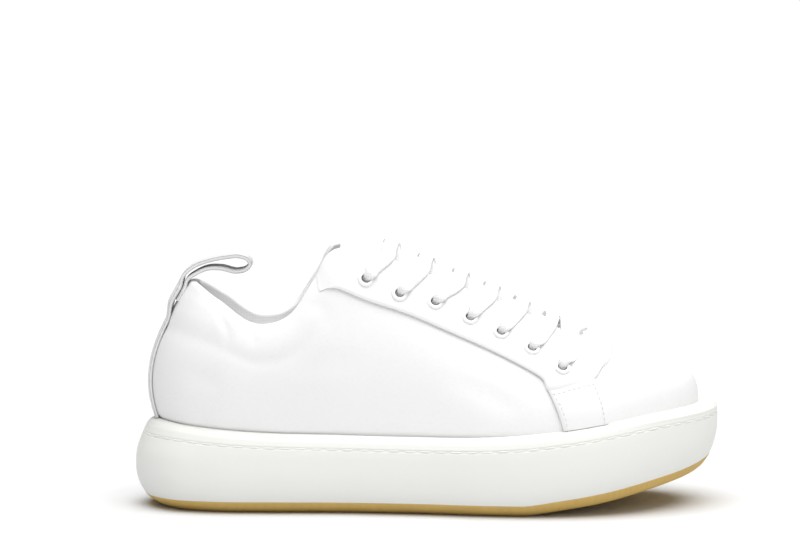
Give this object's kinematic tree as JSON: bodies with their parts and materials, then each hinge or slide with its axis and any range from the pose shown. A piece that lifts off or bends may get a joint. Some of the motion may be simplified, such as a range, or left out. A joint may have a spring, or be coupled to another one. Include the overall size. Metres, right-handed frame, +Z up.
{
  "type": "platform sneaker",
  "caption": "White low-top platform sneaker, right foot: hollow leather upper on a thick rounded cupsole with a gum outsole, laced facing, padded tongue and a heel pull loop.",
  "frame": {"origin": "middle of the shoe's length and width, on the ground plane under the outsole's flats", "axes": "+X from heel to toe, -Y to the lateral (outer) side, +Y to the medial (inner) side, +Z up"},
  "size_m": [0.2819, 0.1015, 0.1324],
  "materials": {
    "gum_rubber": "matte tan gum",
    "sole_rubber": "satin off-white",
    "footbed": "matte",
    "leather": "satin, fine grain",
    "layer_leather": "satin, fine grain, raw grey edge",
    "tongue_leather": "satin, padded",
    "strap_webbing": "satin with grey cut edges",
    "eyelet_enamel": "semi-gloss white enamel",
    "lace_cotton": "matte flat weave"
  },
  "bodies": {
    "root": {"outsole": "gum_rubber", "midsole": "sole_rubber", "insole": "footbed", "upper": "leather", "facing": "layer_leather", "side_panel_lateral": "layer_leather", "side_panel_medial": "layer_leather", "tongue": "tongue_leather", "heel_strap": "strap_webbing", "eyelet_lateral_1": "eyelet_enamel", "eyelet_lateral_2": "eyelet_enamel", "eyelet_lateral_3": "eyelet_enamel", "eyelet_lateral_4": "eyelet_enamel", "eyelet_lateral_5": "eyelet_enamel", "eyelet_lateral_6": "eyelet_enamel", "eyelet_lateral_7": "eyelet_enamel", "eyelet_medial_1": "eyelet_enamel", "eyelet_medial_2": "eyelet_enamel", "eyelet_medial_3": "eyelet_enamel", "eyelet_medial_4": "eyelet_enamel", "eyelet_medial_5": "eyelet_enamel", "eyelet_medial_6": "eyelet_enamel", "eyelet_medial_7": "eyelet_enamel", "lace_crossing_1": "lace_cotton", "lace_crossing_2": "lace_cotton", "lace_crossing_3": "lace_cotton", "lace_crossing_4": "lace_cotton", "lace_crossing_5": "lace_cotton", "lace_crossing_6": "lace_cotton", "lace_bar": "lace_cotton"}
  },
  "joints": []
}
